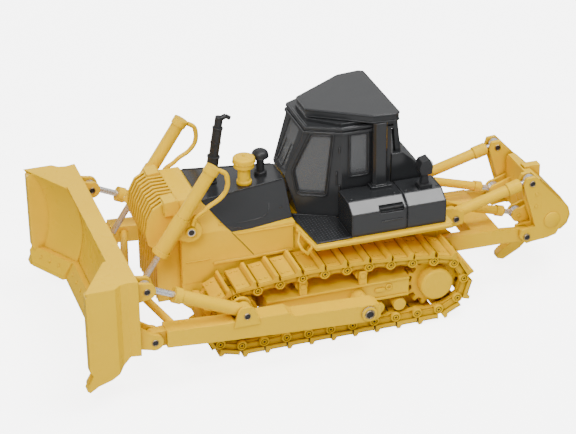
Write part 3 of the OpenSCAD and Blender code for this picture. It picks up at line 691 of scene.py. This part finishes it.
STACK_FOOT = Vector((33.0, 0.0, HOOD_TOP))
STACK_LEAN = Vector((-0.165, 0.0, 1.0))
STACK_CLAMPS = ((0.2, 2.1), (2.6, 1.9), (7.9, 1.95), (12.4, 1.6), (17.0, 1.6))  # (height, radius)
INTAKE_RIM_AT = (17.3, 0, HOOD_TOP + 5.5)
INTAKE_RIM = [(1.0, 0), (2.4, 0.1), (2.66, 0.35), (2.4, 0.6), (1.0, 0.6), (1.0, 0)]
CLEANER_BAND_AT = (23.6, 4, HOOD_TOP + 6.9)
CLEANER_BAND = [(2.8, 0), (3.3, 0.02), (3.52, 0.2), (3.3, 0.4), (2.8, 0.4), (2.8, 0)]
CLEANER_CAP_AT = (23.6, 4, HOOD_TOP + 8.65)
CLEANER_CAP = [(2.3, 0), (2.2, 0.16), (1.5, 0.24), (0.5, 0.26), (0.45, 0.5), (0, 0.52)]

LAMP_FACE_X = 50.36
LAMP_CORNERS = ((7.6, 43.4), (11.5, 43.4), (11.5, 46.5), (7.6, 46.5))  # (y, z)
REAR_LENS = ((-29.66, -29.1), (18.1, 20.9), (48.6, 51.2))


def on_hood(x, z, lift=0.0):
    """Point of the hood's left slope at a given x and z, lifted off its face."""
    away = FACET.x * (x - CREASE_REAR.x) + FACET.z * (z - CREASE_REAR.z)
    return Vector((x, CREASE_REAR.y - away / FACET.y, z)) + FACET.normalized() * lift


hood_trim = bmesh.new()
tube_pair(hood_trim, [on_hood(x, HOOD_TOP, HOOD_TRIM_LIFT) for x in HOOD_CREASE_X], radius=0.24)
tube_pair(hood_trim, [on_hood(*p, HOOD_TRIM_LIFT) for p in HOOD_PANEL], radius=0.13)
for p in HOOD_LATCHES:
    slab_pair(hood_trim, *zip(on_hood(*p) - HOOD_LATCH_HALF, on_hood(*p) + HOOD_LATCH_HALF),
              chamfer=0.08)
piece("hood_trim", hood_trim, CHARCOAL, "tractor")

side_trim = bmesh.new()
for bar in SIDE_BARS:
    slab_pair(side_trim, *bar)
piece("engine_side_trim", side_trim, YELLOW, "tractor")

seams = bmesh.new()
for seam in SIDE_SEAMS:
    tube_pair(seams, seam, radius=0.11)
piece("engine_side_seams", seams, BLACK, "tractor")

clamps = bmesh.new()
for height, radius in STACK_CLAMPS:
    inner = radius - 0.5
    revolve(clamps, STACK_FOOT + STACK_LEAN * height, STACK_LEAN, [
        (inner, 0), (radius, 0.08), (radius, 0.5), (inner, 0.6), (inner, 0)], segments=28)
revolve(clamps, INTAKE_RIM_AT, UPRIGHT, INTAKE_RIM, segments=28)
piece("stack_clamps", clamps, BLACK, "tractor")

cleaner = bmesh.new()
revolve(cleaner, CLEANER_BAND_AT, UPRIGHT, CLEANER_BAND, segments=32)
revolve(cleaner, CLEANER_CAP_AT, UPRIGHT, CLEANER_CAP, segments=32)
piece("air_cleaner_trim", cleaner, YELLOW, "tractor")

bezels = bmesh.new()
lamp_outline = rounded_outline(LAMP_CORNERS, radius=0.7)
tube_pair(bezels, [(LAMP_FACE_X, *p) for p in lamp_outline], radius=0.28, closed=True)
piece("lamp_bezels", bezels, YELLOW, "tractor")

lenses = bmesh.new()
slab_pair(lenses, *REAR_LENS, chamfer=0.15)
piece("rear_lamp_lenses", lenses, LENS, "tractor")


# Cab

DOOR_CORNER = Vector((11.5, 5.5, 0))
DOOR_ALONG = Vector((-15.3, 7.7, 0)).normalized()
DOOR_OUT = Vector((7.7, 15.3, 0)).normalized()
DOOR_WINDOW = [(4.2, 41.5), (12.2, 41.5), (14.2, 60.5), (8.0, 60.5), (2.8, 48.5)]  # (reach, z)
DOOR_FRAME_LIFT, DOOR_SEAL_LIFT = 0.42, 0.3
DOOR_HANDLE = (  # (reach, z, lift)
    (15.6, 44.2, 0.1), (15.6, 44.5, 0.75), (15.6, 48.4, 0.75), (15.6, 48.7, 0.1))
HINGE_REACH, HINGE_LIFT, HINGE_LENGTH = 16.4, 0.1, 1.8
HINGE_FEET = (42.6, 55.0)
REAR_WINDOW = [(-6.2, 47.5), (-11.8, 47.5), (-11.8, 60.5), (-6.2, 60.5)]  # (x, z)
REAR_FRAME_Y, REAR_SEAL_Y = 13.55, 13.35
WIPERS_Y = (-2.2, 2.2)
WIPER = ((11.2, 0, 48.2), (10.75, 0.5, 49.5), (8.6, 1.3, 55.5))
CONSOLES_Y = (-4.6, 4.6)
CONSOLE_LOW, CONSOLE_HIGH = Vector((-7.5, -1.1, 34.8)), Vector((0.5, 1.1, 41.5))
LEVERS_X = (-1.6, -0.4)
LEVER = ((0, 0, 41.3), (0.5, 0, 43.6), (0.9, 0, 45.2))
KNOB_AT = (0.9, 0, 44.9)
KNOB_LEAN = (0.2, 0, 1)
KNOB = [(0, 0), (0.42, 0.1), (0.55, 0.5), (0.42, 0.9), (0, 1.0)]


def on_door(reach, z, lift):
    """Point on the slanted left side of the cab, lifted off its face."""
    return DOOR_CORNER + DOOR_ALONG * reach + DOOR_OUT * lift + Vector((0, 0, z))


def grown(points, share):
    """Outline grown about its middle."""
    middle = Vector([(min(p[k] for p in points) + max(p[k] for p in points)) / 2 for k in (0, 1)])
    return [middle + (Vector(p) - middle) * share for p in points]


frames = bmesh.new()
door_frame = rounded_outline(grown(DOOR_WINDOW, 1.1), radius=1.3)
tube_pair(frames, [on_door(*p, DOOR_FRAME_LIFT) for p in door_frame], radius=0.3, closed=True)
rear_frame = rounded_outline(grown(REAR_WINDOW, 1.09), radius=1.1)
tube_pair(frames, [(p.x, REAR_FRAME_Y, p.y) for p in rear_frame], radius=0.26, closed=True)
tube_pair(frames, [on_door(*p) for p in DOOR_HANDLE], radius=0.22)
for foot in HINGE_FEET:
    hinge = [on_door(HINGE_REACH, z, HINGE_LIFT) for z in (foot, foot + HINGE_LENGTH)]
    tube_pair(frames, hinge, radius=0.32)
piece("window_frames", frames, CHARCOAL, "tractor")

seals = bmesh.new()
door_seal = rounded_outline(DOOR_WINDOW, radius=0.9)
tube_pair(seals, [on_door(*p, DOOR_SEAL_LIFT) for p in door_seal], radius=0.26, closed=True)
rear_seal = rounded_outline(REAR_WINDOW, radius=0.8)
tube_pair(seals, [(p.x, REAR_SEAL_Y, p.y) for p in rear_seal], radius=0.24, closed=True)
for foot in WIPERS_Y:
    tube(seals, [(x, foot + y, z) for x, y, z in WIPER], radius=0.17)
piece("window_seals", seals, BLACK, "tractor")

controls = bmesh.new()
for y in CONSOLES_Y:
    console = Vector((0, y, 0))
    slab(controls, console + CONSOLE_LOW, console + CONSOLE_HIGH, chamfer=0.4)
    for x in LEVERS_X:
        lever = Vector((x, y, 0))
        tube(controls, [lever + Vector(p) for p in LEVER], radius=0.26)
        revolve(controls, lever + Vector(KNOB_AT), KNOB_LEAN, KNOB, segments=10)
piece("cab_controls", controls, GREY, "tractor")


# Deck, side boxes, tank and roof

STEP_OUTLINE = [Vector(p) for p in ((10.2, 7.2), (8.4, 26.0), (-1.7, 26.0), (-1.7, 13.2))]
STEP_MARGIN = 0.35
STUD_ROWS, STUD_COLUMNS = 18, 14
STUD_START_X, STUD_START_Y = -1.6, 7.4
STUD_PITCH_X, STUD_PITCH_Y = 0.95, 1.1
STUD_Z = 33.85
STUD = [(0.3, 0), (0.2, 0.08), (0, 0.1)]
STEP_RIM = [
    (9.9, 6.55, 33.65), (4.0, 9.55, 33.65), (-2.1, 12.6, 33.65), (-2.22, 13.4, 33.65),
    (-2.22, 26.2, 33.65)]
DECK_EDGE = [
    (10.7, 14.6, 32.7), (9.1, 26.3, 32.7), (8.4, 26.95, 32.7), (7.2, 27.05, 32.7),
    (-33.4, 27.05, 32.7)]
GRAB_LOOP = [
    (10.9, 17.6, 33.4), (11.6, 18.2, 30.6), (11.2, 20.6, 29.2), (10.6, 23.8, 29.4),
    (9.6, 25.2, 32.4)]

# Side boxes: bars as spans of x, y and z, edges as (y, z)
BOX_SILL = ((-18.3, -11.7), (25.85, 26.25), (37.0, 37.45))
BOX_LEDGE = ((-18.8, -11.1), (25.0, 26.0), (41.15, 41.6))
LID_BOLTS_X = (-31.2, -21.2, -17.6, -4.0)
LID_BOLT_Y = 20.6
LID_Z = 43.15
LID_BOLT = [(0.5, 0), (0.48, 0.2), (0.3, 0.28), (0, 0.28)]
BOX_FOOT = (25.95, 34.2)
BOX_SHOULDER = (25.95, 40.7)
BOX_LID = (22.0, LID_Z)
BOX_INNER = (15.0, LID_Z)
SHOULDER_SPANS = ((-31.9, -20.1), (-19.3, -18.8), (-11.1, -2.6))
LID_SPANS = ((-31.9, -20.1), (-19.3, -2.6))
BOX_ENDS = (-31.9, -20.0, -19.4, -2.5)
BOX_BEAD = 0.2

FILLER_AT = (-21.4, 0, 51.95)
FILLER_CAP = [(1.9, 0), (1.9, 0.5), (1.6, 0.9), (0.6, 1.0), (0, 1.0)]
TANK_FOOT_X, TANK_FOOT_Z = -32.0, 33.4
TANK_SLOPE = 10.6  # rise of the tank's back for each millimetre forward
LOUVRES_Z = (36.4, 38.0, 39.6, 41.2, 42.8)
LOUVRE_LOW, LOUVRE_HIGH = Vector((-0.35, -9.5, 0)), Vector((0.3, 9.5, 0.7))

ROOF_TOP = 66.7
ROOF_PLAN = [
    (4.2, -4.4), (4.2, 4.4), (-12.6, 15.2), (-19.6, 16.0), (-20.8, 15.2), (-20.8, -15.2),
    (-19.6, -16.0), (-12.6, -15.2)]
ROOF_BEADS = ((0.3, 0.36), (2.3, 0.3))  # (depth below the top, radius)


def on_step(x, y):
    """True inside the tread plate's outline, a margin away from its edges."""
    for first, second in zip(STEP_OUTLINE, STEP_OUTLINE[1:] + STEP_OUTLINE[:1]):
        edge = second - first
        if edge.cross(Vector((x, y)) - first) < STEP_MARGIN * edge.length:
            return False
    return True


studs = bmesh.new()
for row in range(STUD_ROWS):
    for column in range(STUD_COLUMNS):
        x = STUD_START_X + STUD_PITCH_X * column
        y = STUD_START_Y + STUD_PITCH_Y * (row + 0.5 * (column % 2))
        if on_step(x, y):
            for side in SIDES:
                revolve(studs, (x, side * y, STUD_Z), UPRIGHT, STUD, segments=6)
tube_pair(studs, STEP_RIM, radius=0.3)
piece("tread_studs", studs, CHARCOAL, "tractor")

rim = bmesh.new()
tube_pair(rim, DECK_EDGE, radius=0.55, segments=10)
tube_pair(rim, GRAB_LOOP, radius=0.5, segments=10)
piece("deck_rim", rim, YELLOW, "tractor")

box_trim = bmesh.new()
slab_pair(box_trim, *BOX_SILL, chamfer=0.1)
slab_pair(box_trim, *BOX_LEDGE)
for x in LID_BOLTS_X:
    for side in SIDES:
        revolve(box_trim, (x, side * LID_BOLT_Y, LID_Z), UPRIGHT, LID_BOLT, segments=6)
revolve(box_trim, FILLER_AT, UPRIGHT, FILLER_CAP, segments=24)
for z in LOUVRES_Z:
    louvre = Vector((TANK_FOOT_X + (z - TANK_FOOT_Z) / TANK_SLOPE, 0, z))
    slab(box_trim, louvre + LOUVRE_LOW, louvre + LOUVRE_HIGH, chamfer=0.14)
piece("box_trim", box_trim, CHARCOAL, "tractor")

beads = bmesh.new()
roof_edge = rounded_outline(ROOF_PLAN, radius=0.5)
for drop, radius in ROOF_BEADS:
    tube(beads, [(*p, ROOF_TOP - drop) for p in roof_edge], radius, segments=10, closed=True)
for edge, spans in ((BOX_SHOULDER, SHOULDER_SPANS), (BOX_LID, LID_SPANS)):
    for span in spans:
        tube_pair(beads, [(x, *edge) for x in span], BOX_BEAD)
for x in BOX_ENDS:
    tube_pair(beads, [(x, *p) for p in (BOX_FOOT, BOX_SHOULDER, BOX_LID, BOX_INNER)], BOX_BEAD)
piece("edge_beads", beads, CHARCOAL, "tractor")


# Track frames, blade edge and ripper

IDLER_CAP_Y = 26.95
IDLER_CAP = [(1.45, 0), (1.4, 0.3), (1.0, 0.42), (0.6, 0.42), (0.5, 0.3), (0, 0.3)]
FRAME_LEDGE = ((-20.4, 21.5), (25.1, 25.6), (10.2, 11.0))
FRAME_HATCH = ((-13.2, -10.0), (25.0, 25.85), (12.9, 14.3))
LUG_X, LUG_Y, LUG_Z = -14.6, 25.3, 14.0
LUG_RADIUS = 0.8

EDGE_BOLT_X, EDGE_BOLT_Z = 72.05, 10.1
EDGE_BOLTS_Y = range(-20, 21, 5)
EDGE_FACE = Vector((4.2, 0, 2.3)).normalized()
EDGE_BOLT = [(0.6, -0.05), (0.58, 0.2), (0.4, 0.32), (0, 0.34)]
WING_FOLD_X, WING_FOLD_Y = 65.4, 24.0
WING_TURN = math.radians(30)
WING_BOLT_X = 6.65  # forward of the fold, before the wing is turned
WING_BOLTS_REACH = (7.5, 11.5, 15.5)

BEAM_FACE_Y = 15.55
BEAM_BOSS_AXIS = (-72.2, 21.6)
BEAM_BOSS = [(2.7, 0), (2.65, 0.35), (2.3, 0.55), (0, 0.55)]
BEAM_BOLT_AXES = ((-66.6, 27.2), (-66.6, 31.4))
BEAM_BOLT = [(0.6, 0), (0.55, 0.25), (0, 0.3)]
GLAND_START = 21.2  # along the upper ripper barrel, from its root
GLAND = [(0.95, 0), (2.05, 0), (2.05, 1.8), (1.75, 2.2), (0.95, 2.2), (0.95, 0)]

gear = bmesh.new()
revolve_pair(gear, (IDLER_X, WHEEL_Z), IDLER_CAP_Y, IDLER_CAP)
slab_pair(gear, *FRAME_LEDGE)
slab_pair(gear, *FRAME_HATCH, chamfer=0.4)
lug = [(LUG_X + LUG_RADIUS * math.cos(a), LUG_Y, LUG_Z + LUG_RADIUS * math.sin(a))
       for a in circle(16)]
tube_pair(gear, lug, radius=0.32, closed=True)
piece("running_gear_bolts", gear, YELLOW, "tractor")

edge_bolts = bmesh.new()
for y in EDGE_BOLTS_Y:
    revolve(edge_bolts, (EDGE_BOLT_X, y, EDGE_BOLT_Z), EDGE_FACE, EDGE_BOLT, segments=8)
for side in SIDES:
    fold = Vector((WING_FOLD_X, side * WING_FOLD_Y, 0))
    wing = Matrix.Rotation(-side * WING_TURN, 3, "Z")
    for reach in WING_BOLTS_REACH:
        at = fold + wing @ Vector((WING_BOLT_X, side * reach, EDGE_BOLT_Z))
        revolve(edge_bolts, at, wing @ EDGE_FACE, EDGE_BOLT, segments=8)
piece("edge_bolts", edge_bolts, YELLOW, "blade")

bosses = bmesh.new()
revolve_pair(bosses, BEAM_BOSS_AXIS, BEAM_FACE_Y, BEAM_BOSS, segments=32)
for axis in BEAM_BOLT_AXES:
    revolve_pair(bosses, axis, BEAM_FACE_Y, BEAM_BOLT, segments=8)
piece("ripper_bosses", bosses, YELLOW, "ripper_beam")

glands = bmesh.new()
for side in SIDES:
    root = Vector((RIPPER_TILT_ROOT[0], side * RIPPER_TILT_Y, RIPPER_TILT_ROOT[1]))
    eye = Vector((RIPPER_TILT_EYE[0], side * RIPPER_TILT_Y, RIPPER_TILT_EYE[1]))
    ahead = (eye - root).normalized()
    revolve(glands, root + ahead * GLAND_START, ahead, GLAND, segments=28)
piece("ripper_glands", glands, YELLOW, "ripper_tilt_barrels")


# Stage, light and camera

FLOOR_SHADE, FLOOR_COLOUR = (0.9, 0.9, 0.9), (0.94, 0.94, 0.94)
FLOOR_ROUGHNESS = 0.75
FLOOR_GLOW = 5.0
FLOOR_HALF = 6.0
FLOOR_DROP = 0.0002
WHITE = (1, 1, 1, 1)
WORLD_STRENGTH = 0.26

# Soft boxes: name, place, target, width and height, watts
LIGHTS = (
    ("key", (0.35, 0.55, 0.7), (0, 0, 0.02), (0.4, 0.3), 6.1),
    ("top", (-0.27, 0.1, 0.9), (0, 0, 0.02), (0.5, 0.36), 8),
    ("back", (-0.3, -0.75, 0.5), (0, 0, 0.04), (1.0, 0.5), 1.1),
    ("front", (0.95, 0.25, 0.35), (0.06, 0, 0.03), (0.5, 0.4), 1.7),
    ("side", (0.5, -0.75, 0.25), (0, 0, 0.03), (0.6, 0.4), 2.0),
    ("fill", (-0.7, 0.5, 0.35), (0, 0, 0.03), (0.5, 0.5), 1.0),
    ("low", (0.15, 0.8, 0.08), (0, 0, 0.01), (0.8, 0.2), 1.3),
    ("bounce", (0.05, 0.25, -0.4), (0, 0, 0.02), (0.9, 0.7), 2.0),
)

# Camera fitted to the photograph's frame of 576 by 434
CAMERA_PLACE = Vector((0.1776, 0.51074, 0.32194))
CAMERA_RIGHT = Vector((-0.947939, 0.318338, -0.008528))
CAMERA_UP = Vector((-0.159317, -0.450883, 0.87825))
CAMERA_SENSOR = 36.0
CAMERA_LENS = 126.13
CAMERA_NEAR, CAMERA_FAR = 0.01, 50


def studio_floor():
    """Plain pale floor, faintly uneven.

    It glows, to be as pale as the photograph's ground, but lights and shades nothing: the light
    named bounce, below it, stands for what a floor throws back.
    """
    material, tree, shader, vector = node_material("pale_floor")
    tone = ramp(tree, noise(tree, vector, scale=6, detail=2), FLOOR_SHADE, FLOOR_COLOUR)
    tree.links.new(tone, shader.inputs["Base Color"])
    shader.inputs["Roughness"].default_value = FLOOR_ROUGHNESS
    shader.inputs["Emission Color"].default_value = WHITE
    shader.inputs["Emission Strength"].default_value = FLOOR_GLOW
    mesh = bpy.data.meshes.new("floor")
    corners = [(x * FLOOR_HALF, y * FLOOR_HALF, 0) for x, y in ((-1, -1), (1, -1), (1, 1), (-1, 1))]
    mesh.from_pydata(corners, [], [(0, 1, 2, 3)])
    mesh.materials.append(material)
    floor = bpy.data.objects.new("floor", mesh)
    floor.location.z = -FLOOR_DROP
    floor.visible_diffuse = False
    floor.visible_glossy = False
    floor.visible_shadow = False
    bpy.context.scene.collection.objects.link(floor)


def studio_world():
    """Even white surroundings."""
    world = bpy.data.worlds.new("studio")
    world.use_nodes = True
    background = world.node_tree.nodes["Background"]
    background.inputs["Color"].default_value = WHITE
    background.inputs["Strength"].default_value = WORLD_STRENGTH
    bpy.context.scene.world = world


def area_light(name, place, target, size, watts):
    """Soft box at a place, facing a target."""
    data = bpy.data.lights.new(name, "AREA")
    data.shape = "RECTANGLE"
    data.size, data.size_y = size
    data.energy = watts
    light = bpy.data.objects.new(name, data)
    light.location = place
    light.rotation_mode = "QUATERNION"
    light.rotation_quaternion = (Vector(target) - Vector(place)).to_track_quat("-Z", "Y")
    bpy.context.scene.collection.objects.link(light)


def photo_camera():
    """Camera at the photograph's viewing angle."""
    data = bpy.data.cameras.new("photo_camera")
    data.sensor_width = CAMERA_SENSOR
    data.lens = CAMERA_LENS
    data.clip_start = CAMERA_NEAR
    data.clip_end = CAMERA_FAR
    camera = bpy.data.objects.new("photo_camera", data)
    back = CAMERA_RIGHT.cross(CAMERA_UP)
    turn = Matrix((CAMERA_RIGHT, CAMERA_UP, back)).transposed().to_4x4()
    camera.matrix_world = Matrix.Translation(CAMERA_PLACE) @ turn
    bpy.context.scene.collection.objects.link(camera)
    bpy.context.scene.camera = camera


studio_floor()
studio_world()
for light in LIGHTS:
    area_light(*light)
photo_camera()
